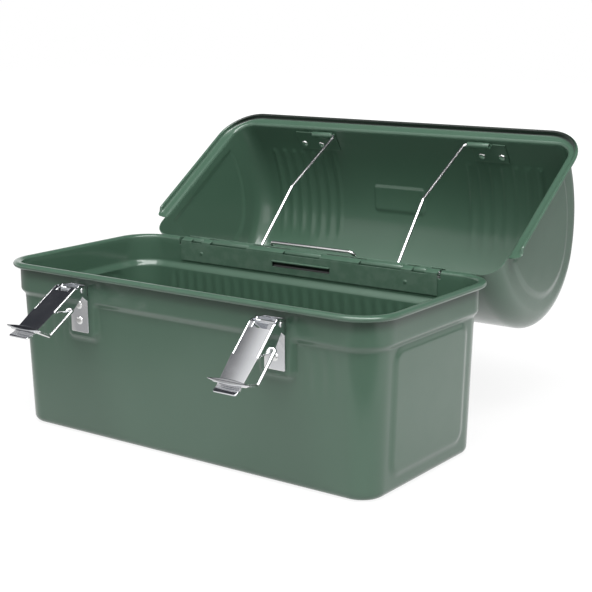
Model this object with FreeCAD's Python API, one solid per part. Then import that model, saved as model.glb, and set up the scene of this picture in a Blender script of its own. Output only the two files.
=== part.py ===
import FreeCAD, Part
import math
import os

from FreeCAD import Vector

# Steel lunch box with a domed lid, standing open. Millimetres, +Z up, front towards -Y.
# The origin is under the middle of the tub's flat bottom.

# Tub
band_length = 320.0
band_width = 148.3
band_corner = 23.3
rim_height = 122.4
band_height = 23.7
ledge_rise = 2.8
ledge_step = 2.9
side_draft = 3.3
floor_edge_radius = 5.0
tub_wall = 1.2
bead_radius = 3.1
panel_half_width = 45.0
panel_low_edge = 12.5
panel_top_margin = 3.0
panel_corner = 9.0
panel_raise = 1.2
pad_half_width = 15.0
pad_depth = 26.7

# Lid, measured from the hinge line with the lid shut
lid_wall = 0.6
rim_clearance = 1.05
seat_gap = 0.3
skirt_drop = 6.2
skirt_end_setback = 25.0
hem_radius = 1.2
dome_end_inset = 1.3
dome_side_inset = 1.95
dome_height = 105.4
dome_wall_height = 14.0
crown_narrowing = 12.2
dome_end_lean = 5.6
dome_end_radius = 15.0
lid_open_angle = 145.6

# Back hinge, with the knuckles' widths from its middle to its end
hinge_setback = 3.35
hinge_drop = 2.4
hinge_side_gap = 2.5
knuckle_widths = [17.0, 35.0, 36.0, 9.0, 10.5, 10.5]
knuckle_gap = 0.3
barrel_radius = 2.8
pin_radius = 1.5
pin_head_radius = 2.3
pin_head_length = 1.2
leaf_thickness = 0.8
leaf_depth = 13.5
running_clearance = 0.05
strap_gap = 0.3
lip_half_width = 27.0
lip_depth = 1.8
lip_drop = 7.5

# Latches, measured from the lever's pivot with the lever shut
latch_offset = 86.0
pivot_rim_gap = 2.35
pivot_drop = 11.1
plate_thickness = 1.2
plate_side_gap = 1.0
plate_drop = 32.3
plate_top_rise = 2.4
ear_reach = 3.2
ear_foot = 9.6
lever_pin_radius = 1.2
lever_pin_head = 2.0
lever_pin_head_length = 0.8
lever_thickness = 1.0
lever_half_width = 10.25
lever_tip_half_width = 9.0
lever_front = 5.7
lever_top = 3.8
lever_ear_foot = 29.0
lever_tongue_margin = 2.4
lever_tongue = 5.0
lever_tongue_flare = 1.3
notch_half_width = 5.5
notch_depth = 4.4
bail_wire_radius = 1.0
bail_eye_margin = 1.5
bail_side_gap = 0.3
bail_front_gap = 0.3
bail_bend_radius = 1.8
bail_pivot_down = 16.0
bail_pivot_back = 3.5
bail_slant = 6.6
hook_bar_half_length = 16.5
hook_bar_height = 4.5
hook_bar_thickness = 1.6
hook_rise = 7.2
hook_standoff = 5.3
right_lever_angle = 45.0
left_lever_angle = 58.5

# Catches and flask brackets on the lid's front wall
catch_thickness = 1.0
catch_trough_half_width = 10.0
catch_clearance = 0.4
catch_side_room = 0.8
rivet_rise = 9.5
rivet_spacing = 17.5
rivet_radius = 1.8
rivet_head_radius = 3.2
rivet_head_height = 1.1
rivet_edge_margin = 2.0
latch_rivet_rise = 8.5
latch_rivet_spacing = 11.2
bracket_thickness = 1.0
tube_length = 19.0
tube_height = 6.0
tube_setback = 4.6
tube_wall = 1.2

# Flask bail, measured from its pivot, the hinge leaf in the lid and the hinge line
flask_wire_radius = 1.3
flask_bend_radius = 3.0
right_arm_inset = 19.0
left_arm_inset = 29.5
flask_kink_inset = 24.0
flask_kink_run = 65.5
flask_kink_rise = 0.5
flask_back_inset = 21.5
flask_bar_gap = 4.5
flask_bar_height = 23.0
flask_loop_half_width = 38.0
flask_loop_gap = 1.6
flask_loop_height = 0.5

# Carrying handle on top of the dome
lug_inner_edge = 44.0
lug_length = 11.0
lug_radius = 4.3
lug_height = 5.2
saddle_overhang = 2.5
saddle_thickness = 1.2
saddle_seat_gap = 0.1
handle_rivet_offset = 11.0
handle_wire_radius = 2.5
handle_side_gap = 1.0
handle_reach = 34.0
handle_bend_radius = 6.5
handle_stub_overhang = 1.0
grip_end_gap = 12.0
grip_end_radius = 7.3
grip_middle_radius = 8.6

# Places that several pieces share
ledge_height = rim_height - band_height
bead_offset = bead_radius - tub_wall
bead_level = rim_height - bead_radius
rim_reach = bead_offset + bead_radius
front_face = -band_width / 2
hinge_y = band_width / 2 + hinge_setback
hinge_z = rim_height - hinge_drop
hinge_half_length = sum(knuckle_widths)
bore_radius = pin_radius + running_clearance
flange_low = rim_height + seat_gap - hinge_z
flange_high = flange_low + lid_wall
skirt_low = flange_low - skirt_drop
skirt_inner_reach = rim_reach + rim_clearance
dome_length = band_length - 2 * dome_end_inset
dome_width = band_width - 2 * dome_side_inset
lid_middle = -hinge_y
front_wall = lid_middle - dome_width / 2
lid_leaf_back = lid_middle + dome_width / 2 - lid_wall
lid_leaf_front = lid_leaf_back - leaf_thickness
pivot_standoff = rim_reach + pivot_rim_gap
pivot_y = front_face - pivot_standoff
pivot_z = rim_height - pivot_drop
plate_half_width = lever_half_width - lever_thickness - plate_side_gap
lever_pin_end = lever_half_width + knuckle_gap / 2
bail_half_width = lever_pin_end + lever_pin_head_length + bail_side_gap + bail_wire_radius
hook_y = front_wall - hook_standoff
hook_z = flange_high + hook_rise
rivet_height = hook_z + rivet_rise
rivet_margin = rivet_head_radius + rivet_edge_margin
catch_half_width = rivet_spacing / 2 + rivet_margin
lug_outer_edge = lug_inner_edge + lug_length
handle_pivot_z = dome_height + lug_height
handle_half_width = lug_outer_edge + handle_side_gap + handle_bend_radius
grip_half_length = handle_half_width - handle_bend_radius - grip_end_gap
below_everything = -40.0
cut_margin = 1.0

# The bail's cross wire lies in front of the lever when folded, and at the hook place when shut.
bail_hook_out = bail_pivot_back + lever_front + bail_front_gap + bail_wire_radius
shut_y = hinge_y + hook_y - pivot_y - bail_pivot_back
shut_z = hinge_z + hook_z - pivot_z + bail_pivot_down
bail_hook_reach = math.sqrt(shut_y ** 2 + shut_z ** 2 - bail_hook_out ** 2)
cross_wire_y = bail_pivot_back - bail_hook_out
cross_wire_z = -bail_pivot_down - bail_hook_reach
lever_bend_z = cross_wire_z - lever_tongue_margin
lever_tip_z = lever_bend_z - lever_tongue
X = Vector(1, 0, 0)
Y = Vector(0, 1, 0)
Z = Vector(0, 0, 1)


def box(low, high):
    """A block between two corners."""
    size = [b - a for a, b in zip(low, high)]
    return Part.makeBox(size[0], size[1], size[2], Vector(*low))


def bar(radius, start, end):
    """A round bar from one point to another."""
    run = Vector(*end) - Vector(*start)
    return Part.makeCylinder(radius, run.Length, Vector(*start), run)


def prism(points, sweep):
    """A flat outline of straight edges, carried along a straight sweep."""
    outline = Part.makePolygon([Vector(*p) for p in points + points[:1]])
    return Part.Face(outline).extrude(sweep)


def bent_path(points, bend_radius):
    """Straight runs between the points, joined by tangent arcs of one radius."""
    corners = [Vector(*p) for p in points]
    edges = []
    start = corners[0]
    for before, corner, after in zip(corners, corners[1:], corners[2:]):
        incoming = (corner - before).normalize()
        outgoing = (after - corner).normalize()
        half_turn = incoming.getAngle(outgoing) / 2
        reach = bend_radius * math.tan(half_turn)
        to_arc = bend_radius / math.cos(half_turn) - bend_radius
        arc_start = corner - incoming * reach
        arc_middle = corner + (outgoing - incoming).normalize() * to_arc
        arc_end = corner + outgoing * reach
        edges.append(Part.makeLine(start, arc_start))
        edges.append(Part.Arc(arc_start, arc_middle, arc_end).toShape())
        start = arc_end
    edges.append(Part.makeLine(start, corners[-1]))
    return Part.Wire(edges)


def bent_bar(points, bend_radius, radius):
    """Round wire bent along the points."""
    start = Vector(*points[0])
    section = Part.Wire(Part.makeCircle(radius, start, Vector(*points[1]) - start))
    return bent_path(points, bend_radius).makePipeShell([section], True, False)


def rounded_rectangle(length, width, corner, height, middle=0.0):
    """A level closed outline with round corners, about x = 0 and y = middle."""
    x = length / 2
    back = middle + width / 2
    front = middle - width / 2
    points = [(0, back), (x, back), (x, front), (-x, front), (-x, back), (0, back)]
    return bent_path([(px, py, height) for px, py in points], corner)


def band_outline(reach, height, middle=0.0):
    """The band's outline moved out by reach, as a level wire."""
    return rounded_rectangle(
        band_length + 2 * reach, band_width + 2 * reach, band_corner + reach, height, middle)


def wall_reach(height):
    """How far the leaning lower wall lies outside the band's face, which is a negative distance."""
    return -ledge_step - side_draft * (1 - height / ledge_height)


def lower_body(inset, low):
    """The leaning lower part of the tub, from its rounded bottom edge to the ledge."""
    outlines = [band_outline(wall_reach(z) - inset, z) for z in (low, ledge_height)]
    body = Part.makeLoft(outlines, True, True)
    edges = [e for e in body.Edges if e.BoundBox.ZMax < low + cut_margin]
    return body.makeFillet(floor_edge_radius - inset, edges)


def end_panel(side, inset, low):
    """A panel pressed outwards on one end wall."""
    half = panel_half_width - inset
    bottom = panel_low_edge + inset
    top = ledge_height - panel_top_margin - inset
    corners = [(0, bottom), (half, bottom), (half, top), (-half, top), (-half, bottom), (0, bottom)]
    outline = bent_path([(side * band_length / 4, y, z) for y, z in corners], panel_corner - inset)
    column = Part.Face(outline).extrude(X * (side * band_length))
    outlines = [band_outline(wall_reach(z) + panel_raise - inset, z) for z in (low, ledge_height)]
    return column.common(Part.makeLoft(outlines, True, True))


def tub_form(inset):
    """The tub as a full body, moved inwards by inset all round."""
    low = inset
    step_top = ledge_height + ledge_rise
    step = Part.makeLoft(
        [band_outline(-ledge_step - inset, ledge_height), band_outline(-inset, step_top)], True, True)
    top = rim_height if inset else bead_level
    band = Part.Face(band_outline(-inset, step_top)).extrude(Vector(0, 0, top - step_top))
    forms = [step, band]
    pad_half = pad_half_width - inset
    pad_low = ledge_height - pad_depth + inset
    for side in (-1, 1):
        middle = side * latch_offset
        forms.append(end_panel(side, inset, low))
        forms.append(box(
            (middle - pad_half, front_face + inset, pad_low), (middle + pad_half, front_face / 2, step_top)))
    return lower_body(inset, low).multiFuse(forms)


def base_tub():
    """Drawn tub with a rolled rim that is left out where the hinge sits."""
    gap = hinge_half_length + hinge_side_gap
    length = band_length / 2 + bead_offset
    width = band_width / 2 + bead_offset
    rim = [(gap, width), (length, width), (length, -width)]
    rim = rim + [(-x, y) for x, y in reversed(rim)]
    bead = bent_bar([(x, y, bead_level) for x, y in rim], band_corner + bead_offset, bead_radius)
    shell = tub_form(0.0).cut(tub_form(tub_wall))
    strap_low = hinge_z - barrel_radius
    notch = box((-gap, 0, strap_low - strap_gap), (gap, band_width, rim_height))
    return shell.cut(notch).fuse(bead).removeSplitter()


def arch_arcs():
    """Side radius, crown radius, both centres and the slope between them, for the dome's arch of three arcs.

    The arcs meet in line, so the side radius follows from the half width, the rise and the crown radius.
    """
    half = dome_width / 2
    rise = dome_height - dome_wall_height
    crown = half - crown_narrowing
    side = (half ** 2 + (rise - crown) ** 2 - crown ** 2) / (2 * crown_narrowing)
    side_centre = Vector(0, half - side, dome_wall_height)
    crown_centre = Vector(0, 0, dome_wall_height + rise - crown)
    slope = math.atan2(crown_centre.z - side_centre.z, crown_centre.y - side_centre.y)
    return side, crown, side_centre, crown_centre, slope


def arch_surface(offset):
    """Height of the dome's outer surface on the crown arc, at a distance from its middle line."""
    crown_radius, crown_centre = arch_arcs()[1], arch_arcs()[3]
    return crown_centre.z + math.sqrt(crown_radius ** 2 - offset ** 2)


def arch_outline(inset, low):
    """The dome's cross-section at x = 0, moved inwards by inset, with straight walls down to low."""
    side, crown, side_centre, crown_centre, slope = arch_arcs()
    half = dome_width / 2 - inset
    back = []
    for turn in (0, slope / 2, slope):
        back.append(side_centre + Vector(0, math.cos(turn), math.sin(turn)) * (side - inset))
    front = [Vector(0, -p.y, p.z) for p in reversed(back)]
    top = crown_centre + Z * (crown - inset)
    back_foot = Vector(0, half, low)
    front_foot = Vector(0, -half, low)
    arcs = [Part.Arc(*back), Part.Arc(back[2], top, front[0]), Part.Arc(*front)]
    walls = [Part.makeLine(front[2], front_foot), Part.makeLine(front_foot, back_foot)]
    edges = [Part.makeLine(back_foot, back[0])] + [arc.toShape() for arc in arcs] + walls
    return Part.Wire(edges).translated(Y * lid_middle)


def dome_barrel(inset, low):
    """The dome as a straight barrel with square ends."""
    half = dome_length / 2
    return Part.Face(arch_outline(inset, low)).extrude(X * dome_length).translated(X * -half)


def dome_form(inset, low):
    """The dome as a full body, with leaning ends and round end edges."""
    foot = dome_length / 2 - inset - dome_end_lean * low / dome_height
    crown = dome_length / 2 - inset - dome_end_lean
    ends = [(-foot, low), (foot, low), (crown, dome_height), (-crown, dome_height)]
    wedge = prism([(x, lid_middle - dome_width, z) for x, z in ends], Y * (2 * dome_width))
    body = dome_barrel(inset, low).common(wedge)
    rounded = []
    for edge in body.Edges:
        bounds = edge.BoundBox
        at_end = bounds.XMin > crown - cut_margin or bounds.XMax < cut_margin - crown
        if at_end and bounds.ZMax > low + cut_margin:
            rounded.append(edge)
    return body.makeFillet(dome_end_radius - inset, rounded)


def lid_shell():
    """Drawn lid: dome, flange that seats on the rim, short skirt and hemmed edge."""
    lowest = skirt_low - cut_margin
    plain_back = box((-band_length, -skirt_end_setback, lowest), (band_length, band_width, flange_high))
    brim = Part.Face(band_outline(skirt_inner_reach + lid_wall, skirt_low, lid_middle))
    brim = brim.extrude(Z * (flange_high - skirt_low)).cut(plain_back)
    hollow = Part.Face(band_outline(skirt_inner_reach, lowest, lid_middle)).extrude(Z * (flange_low - lowest))
    shell = dome_form(0.0, flange_low).fuse(brim)
    shell = shell.cut(dome_form(lid_wall, below_everything)).cut(hollow)
    hem_reach = skirt_inner_reach + hem_radius
    side = band_length / 2 + hem_reach
    front = lid_middle - band_width / 2 - hem_reach
    edge = [(side, -skirt_end_setback), (side, front), (-side, front), (-side, -skirt_end_setback)]
    path = [(x, y, skirt_low + hem_radius) for x, y in edge]
    return shell.fuse(bent_bar(path, band_corner + hem_reach, hem_radius)).removeSplitter()


def knuckle_spans():
    """The x spans of the knuckles, first the base leaf's and then the lid leaf's."""
    right = [sum(knuckle_widths[:count]) for count in range(1, len(knuckle_widths) + 1)]
    edges = [-x for x in reversed(right)] + right
    spans = [(a + knuckle_gap / 2, b - knuckle_gap / 2) for a, b in zip(edges, edges[1:])]
    return spans[0::2], spans[1::2]


def rolled_knuckles(spans, strap_low, strap_front):
    """Barrels on the hinge line, each with its strap running forwards to the leaf."""
    pieces = []
    for start, end in spans:
        barrel = bar(barrel_radius, (start, 0, 0), (end, 0, 0))
        strap = box((start, strap_front, strap_low), (end, 0, strap_low + leaf_thickness))
        pieces.append(barrel.fuse(strap).cut(bar(bore_radius, (start, 0, 0), (end, 0, 0))))
    return pieces


def leaf_with_knuckles(spans, leaf, strap_low, strap_front):
    """A hinge leaf and its knuckles in one piece."""
    return leaf.multiFuse(rolled_knuckles(spans, strap_low, strap_front)).removeSplitter()


def base_hinge_leaf():
    """Leaf on the tub's inner back face, with straps over the wall's top edge and a small lip in front."""
    back = -hinge_setback - tub_wall
    strap_low = -barrel_radius
    leaf = box(
        (-hinge_half_length, back - leaf_thickness, strap_low + leaf_thickness - leaf_depth),
        (hinge_half_length, back, strap_low + leaf_thickness))
    lip = box(
        (-lip_half_width, back - leaf_thickness - lip_depth, -lip_drop),
        (lip_half_width, back, leaf_thickness - lip_drop))
    piece = leaf_with_knuckles(knuckle_spans()[0], leaf.fuse(lip), strap_low, back - leaf_thickness)
    return piece.translated(Vector(0, hinge_y, hinge_z))


def lid_hinge_leaf():
    """Leaf on the lid's inner back face, with straps under the wall's lower edge."""
    strap_low = flange_low - strap_gap - leaf_thickness
    leaf = box(
        (-hinge_half_length, lid_leaf_front, strap_low), (hinge_half_length, lid_leaf_back, dome_wall_height))
    return leaf_with_knuckles(knuckle_spans()[1], leaf, strap_low, lid_leaf_front)


def hinge_pin():
    """Headed pin through all the knuckles."""
    end = hinge_half_length + knuckle_gap
    pieces = []
    for side in (-1, 1):
        pieces.append(bar(pin_head_radius, (side * end, 0, 0), (side * (end + pin_head_length), 0, 0)))
    shank = bar(pin_radius, (-end, 0, 0), (end, 0, 0))
    return shank.multiFuse(pieces).translated(Vector(0, hinge_y, hinge_z))


def both_sides(inner, outer):
    """The x spans at both sides of a latch's middle."""
    return [(-outer, -inner), (inner, outer)]


def latch_plate():
    """Riveted plate with two ears that carry the lever's pin, about the pivot."""
    face = pivot_standoff - plate_thickness
    plate = box((-plate_half_width, face, -plate_drop), (plate_half_width, pivot_standoff, plate_top_rise))
    ear = [(face, -ear_foot), (face, plate_top_rise), (-ear_reach / 2, ear_reach),
           (-ear_reach, ear_reach / 2), (-ear_reach, -ear_reach / 2), (-ear_reach / 3, -ear_reach)]
    for start, end in both_sides(plate_half_width - plate_thickness, plate_half_width):
        plate = plate.fuse(prism([(start, y, z) for y, z in ear], X * (end - start)))
    hole = bar(lever_pin_radius + running_clearance, (-lever_half_width, 0, 0), (lever_half_width, 0, 0))
    return plate.cut(hole).removeSplitter()


def lever_pin():
    """Headed pin through the plate's ears and the lever's ears, about the pivot."""
    pin = bar(lever_pin_radius, (-lever_pin_end, 0, 0), (lever_pin_end, 0, 0))
    head_end = lever_pin_end + lever_pin_head_length
    for side in (-1, 1):
        pin = pin.fuse(bar(lever_pin_head, (side * lever_pin_end, 0, 0), (side * head_end, 0, 0)))
    return pin


def lever():
    """Channel lever with a notched top edge, side ears and a flared tongue, shut, about the pivot."""
    back = lever_thickness - lever_front
    side_view = [(back, -lever_top), (-lever_front, -lever_top), (-lever_front, lever_bend_z),
                 (-lever_front - lever_tongue_flare, lever_tip_z),
                 (back - lever_tongue_flare, lever_tip_z), (back, lever_bend_z)]
    strip = prism([(-lever_half_width, y, z) for y, z in side_view], X * (2 * lever_half_width))
    edge = [(lever_half_width, 0), (lever_half_width, -lever_ear_foot), (lever_tip_half_width, lever_tip_z)]
    outline = edge + [(-x, z) for x, z in reversed(edge)]
    sheet = prism([(x, -2 * lever_front, z) for x, z in outline], Y * (2 * lever_front))
    notch = box((-notch_half_width, -2 * lever_front, -lever_top - notch_depth), (notch_half_width, 0, 0))
    piece = strip.common(sheet).cut(notch)
    eye_back = bail_pivot_back + bail_wire_radius + bail_eye_margin
    eye_low = -bail_pivot_down - bail_wire_radius - bail_eye_margin
    ear = [(-lever_front, -lever_top), (back, -lever_top / 2), (-ear_reach / 2, ear_reach),
           (ear_reach / 2, ear_reach), (ear_reach, 0), (eye_back, -bail_pivot_down),
           (bail_pivot_back, eye_low), (back, -lever_ear_foot), (-lever_front, -lever_ear_foot)]
    for start, end in both_sides(lever_half_width - lever_thickness, lever_half_width):
        piece = piece.fuse(prism([(start, y, z) for y, z in ear], X * (end - start)))
    reach = 2 * lever_half_width
    pin_hole = bar(lever_pin_radius + running_clearance, (-reach, 0, 0), (reach, 0, 0))
    eye = (bail_pivot_back, -bail_pivot_down)
    wire_hole = bar(bail_wire_radius + running_clearance, (-reach, *eye), (reach, *eye))
    return piece.cut(pin_hole).cut(wire_hole).removeSplitter()


def bail_wire():
    """Wire bail whose ends turn in the lever's ears, folded down along the shut lever, about its pivot."""
    stub = lever_half_width - lever_thickness - running_clearance
    half = [
        (stub, bail_pivot_back, -bail_pivot_down),
        (bail_half_width, bail_pivot_back, -bail_pivot_down),
        (bail_half_width, bail_pivot_back, cross_wire_z + bail_slant),
        (bail_half_width, cross_wire_y, cross_wire_z)]
    points = half + [(-x, y, z) for x, y, z in reversed(half)]
    return bent_bar(points, bail_bend_radius, bail_wire_radius)


def hook_bar():
    """Pointed bar that lies along the bail's cross wire, with a groove for it."""
    front = cross_wire_y - bail_wire_radius - running_clearance - hook_bar_thickness / 2
    tips = [Vector(side * hook_bar_half_length, front, cross_wire_z) for side in (-1, 1)]
    crown = Vector(0, front, cross_wire_z + hook_bar_height / 2)
    foot = Vector(0, front, cross_wire_z - hook_bar_height / 2)
    rims = [Part.Arc(tips[0], crown, tips[1]).toShape(), Part.Arc(tips[1], foot, tips[0]).toShape()]
    plate = Part.Face(Part.Wire(rims)).extrude(Y * hook_bar_thickness)
    groove_ends = [(side * hook_bar_half_length, cross_wire_y, cross_wire_z) for side in (-1, 1)]
    return plate.cut(bar(bail_wire_radius + running_clearance, *groove_ends))


def wall_plate(outer_inset, thickness, low, high):
    """A plate that follows the dome's arch inside a box, given as its lowest and highest corners."""
    layer = dome_barrel(outer_inset, below_everything)
    layer = layer.cut(dome_barrel(outer_inset + thickness, below_everything))
    return layer.common(box(low, high))


def catch(side):
    """Outside catch with a trough that the hook bar drops into."""
    middle = side * latch_offset
    floor_top = hook_z - hook_bar_height / 2 - catch_clearance
    floor_low = floor_top - catch_thickness
    lip_inner = hook_y - bail_wire_radius - catch_side_room
    lip_outer = lip_inner - catch_thickness
    plate = wall_plate(
        -catch_thickness, catch_thickness,
        (middle - catch_half_width, lip_outer, floor_low),
        (middle + catch_half_width, lid_middle, rivet_height + rivet_margin))
    start = middle - catch_trough_half_width
    end = middle + catch_trough_half_width
    floor = box((start, lip_outer, floor_low), (end, front_wall - catch_thickness / 2, floor_top))
    lip = box((start, lip_outer, floor_low), (end, lip_inner, hook_z))
    return plate.multiFuse([floor, lip]).removeSplitter()


def tube_axis():
    """Where the flask bail turns, about the hinge line."""
    return front_wall + lid_wall + tube_setback, tube_height


def flask_arm_front(side):
    """How far the flask bail's arm stands from the box's middle at its bracket on one side."""
    inset = left_arm_inset if side < 0 else right_arm_inset
    return latch_offset - inset


def bottle_bracket(side):
    """Inside bracket with a rolled tube that the flask bail turns in."""
    inner_face = front_wall + lid_wall
    inner_edge = flask_arm_front(side) + flask_bend_radius
    axis_y, axis_z = tube_axis()
    bore = flask_wire_radius + running_clearance
    outside = bore + tube_wall
    spans = sorted([side * inner_edge, side * (latch_offset + catch_half_width)])
    tube_ends = sorted([side * inner_edge, side * (inner_edge + tube_length)])
    shelf_high = axis_z + outside
    plate = wall_plate(
        lid_wall, bracket_thickness,
        (spans[0], inner_face - dome_width, shelf_high - tube_wall),
        (spans[1], lid_middle, rivet_height + rivet_margin))
    shelf = box(
        (tube_ends[0], inner_face + bracket_thickness / 2, shelf_high - tube_wall),
        (tube_ends[1], axis_y, shelf_high))
    tube = bar(outside, (tube_ends[0], axis_y, axis_z), (tube_ends[1], axis_y, axis_z))
    hole = bar(bore, (tube_ends[0], axis_y, axis_z), (tube_ends[1], axis_y, axis_z))
    return plate.multiFuse([shelf, tube]).cut(hole).removeSplitter()


def bottle_bail():
    """Flask wire: arms from the bracket tubes to a back bar with a finger loop in its middle."""
    axis = tube_axis()
    kink = (axis[0] + flask_kink_run, axis[1] + flask_kink_rise)
    bar_place = (lid_leaf_front - flask_wire_radius - flask_bar_gap, flask_bar_height)
    loop_place = (lid_leaf_front - flask_wire_radius - flask_loop_gap, flask_loop_height)
    halves = []
    for side in (-1, 1):
        arm = flask_arm_front(side)
        halves.append([
            (side * (arm + flask_bend_radius + tube_length), *axis),
            (side * arm, *axis),
            (side * (latch_offset - flask_kink_inset), *kink),
            (side * (latch_offset - flask_back_inset), *bar_place),
            (side * flask_loop_half_width, *bar_place),
            (side * flask_loop_half_width, *loop_place)])
    return bent_bar(halves[0] + halves[1][::-1], flask_bend_radius, flask_wire_radius)


def rivet(start, run, outer_body, inner_body):
    """A shank between two tapered heads that sit flush on an outer and an inner body's surface."""
    inward = Vector(run).normalize()
    sink = inward * rivet_head_height
    taper = (rivet_head_radius, rivet_head_radius / 2, 2 * rivet_head_height)
    outer = Part.makeCone(*taper, start + sink, inward * -1).cut(outer_body)
    inner = Part.makeCone(*taper, start + run - sink, inward).common(inner_body)
    shank = Part.makeCylinder(rivet_radius, run.Length + rivet_head_height, start - sink / 2, run)
    return shank.multiFuse([outer, inner])


def riveted(places, outer_body, inner_body):
    """All the rivets of one group."""
    return Part.makeCompound([rivet(start, run, outer_body, inner_body) for start, run in places])


def rivet_holes(places, shape):
    """The shape with a clear hole for each rivet."""
    radius = rivet_radius + running_clearance
    for start, run in places:
        shape = shape.cut(Part.makeCylinder(radius, 3 * run.Length, start - run, run))
    return shape


def catch_rivet_places():
    """Starts and runs of the rivets through catch, lid wall and bracket, about the hinge line."""
    start_y = front_wall - catch_thickness
    run = Y * (catch_thickness + lid_wall + bracket_thickness)
    places = []
    for side in (-1, 1):
        for step in (-0.5, 0.5):
            places.append((Vector(side * latch_offset + step * rivet_spacing, start_y, rivet_height), run))
    return places


def catch_rivets():
    """Rivets through catch, lid wall and bracket."""
    outer_body = dome_barrel(-catch_thickness, below_everything)
    inner_body = dome_barrel(lid_wall + bracket_thickness, below_everything)
    return riveted(catch_rivet_places(), outer_body, inner_body)


def latch_rivet_places():
    """Starts and runs of the rivets through latch plate and tub wall."""
    low = pivot_z - plate_drop + latch_rivet_rise
    run = Y * (plate_thickness + tub_wall)
    places = []
    for side in (-1, 1):
        for height in (low, low + latch_rivet_spacing):
            places.append((Vector(side * latch_offset, front_face - plate_thickness, height), run))
    return places


def latch_rivets():
    """Rivets through latch plate and tub wall."""
    far = band_length / 2
    outer_body = box((-far, front_face - plate_thickness, 0), (far, 0, rim_height))
    inner_body = box((-far, front_face + tub_wall, 0), (far, 0, rim_height))
    return riveted(latch_rivet_places(), outer_body, inner_body)


def handle_bracket(side):
    """Saddle on the dome's crown with a lug that the handle turns in."""
    ends = sorted([side * lug_inner_edge, side * lug_outer_edge])
    reach = handle_rivet_offset + rivet_margin
    saddle = wall_plate(
        -saddle_seat_gap - saddle_thickness, saddle_thickness,
        (ends[0] - saddle_overhang, lid_middle - reach, dome_wall_height),
        (ends[1] + saddle_overhang, lid_middle + reach, handle_pivot_z))
    pivot = (lid_middle, handle_pivot_z)
    lug = bar(lug_radius, (ends[0], *pivot), (ends[1], *pivot))
    web = box(
        (ends[0], lid_middle - lug_radius, dome_height + saddle_seat_gap + saddle_thickness / 2),
        (ends[1], lid_middle + lug_radius, handle_pivot_z))
    bore = bar(handle_wire_radius + running_clearance, (ends[0], *pivot), (ends[1], *pivot))
    return saddle.multiFuse([lug, web]).cut(bore).removeSplitter()


def handle_rivet_places():
    """Starts and runs of the rivets through the saddles and the dome's crown, about the hinge line."""
    surface = arch_surface(handle_rivet_offset)
    run = Z * -(saddle_thickness + saddle_seat_gap + lid_wall)
    places = []
    for side in (-1, 1):
        for step in (-1, 1):
            x = side * (lug_inner_edge + lug_outer_edge) / 2
            y = lid_middle + step * handle_rivet_offset
            places.append((Vector(x, y, surface + saddle_seat_gap + saddle_thickness), run))
    return places


def handle_rivets():
    """Rivets through the saddles and the dome's crown."""
    outer_body = dome_barrel(-saddle_seat_gap - saddle_thickness, below_everything)
    inner_body = dome_barrel(lid_wall, below_everything)
    return riveted(handle_rivet_places(), outer_body, inner_body)


def handle_bail():
    """Bent bar whose ends turn in the lugs, standing straight up, about its pivot."""
    stub = lug_inner_edge - handle_stub_overhang
    half = [(stub, 0), (handle_half_width, 0), (handle_half_width, handle_reach)]
    points = half + [(-x, z) for x, z in reversed(half)]
    return bent_bar([(x, 0, z) for x, z in points], handle_bend_radius, handle_wire_radius)


def handle_grip():
    """Moulded grip, fullest in the middle, on the handle's cross bar."""
    bore = handle_wire_radius + running_clearance
    ends = [Vector(side * grip_half_length, 0, grip_end_radius) for side in (-1, 1)]
    feet = [Vector(side * grip_half_length, 0, bore) for side in (-1, 1)]
    swell = Part.Arc(ends[0], Vector(0, 0, grip_middle_radius), ends[1]).toShape()
    corners = [ends[1], feet[1], feet[0], ends[0]]
    sides = [Part.makeLine(a, b) for a, b in zip(corners, corners[1:])]
    grip = Part.Face(Part.Wire([swell] + sides)).revolve(Vector(0, 0, 0), X, 360)
    return grip.translated(Z * handle_reach)


def on_lid(shape):
    """A piece modelled about the hinge line with the lid shut, moved to the standing-open lid."""
    return shape.rotated(Vector(0, 0, 0), X, -lid_open_angle).translated(Vector(0, hinge_y, hinge_z))


def on_handle(shape):
    """A piece of the upright handle, hung straight down from the open lid."""
    hang = lid_open_angle - 180
    upright = shape.rotated(Vector(0, 0, 0), X, hang)
    return on_lid(upright.translated(Vector(0, lid_middle, handle_pivot_z)))


def on_lever(shape, side, angle):
    """A piece modelled about the shut lever's pivot, moved to the open lever."""
    turned = shape.rotated(Vector(0, 0, 0), X, -angle)
    return turned.translated(Vector(side * latch_offset, pivot_y, pivot_z))


def save(name, shape):
    """One closed piece, or one group of like pieces, in its own file."""
    shape.exportStep(os.path.join("parts", name + ".step"))


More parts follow.
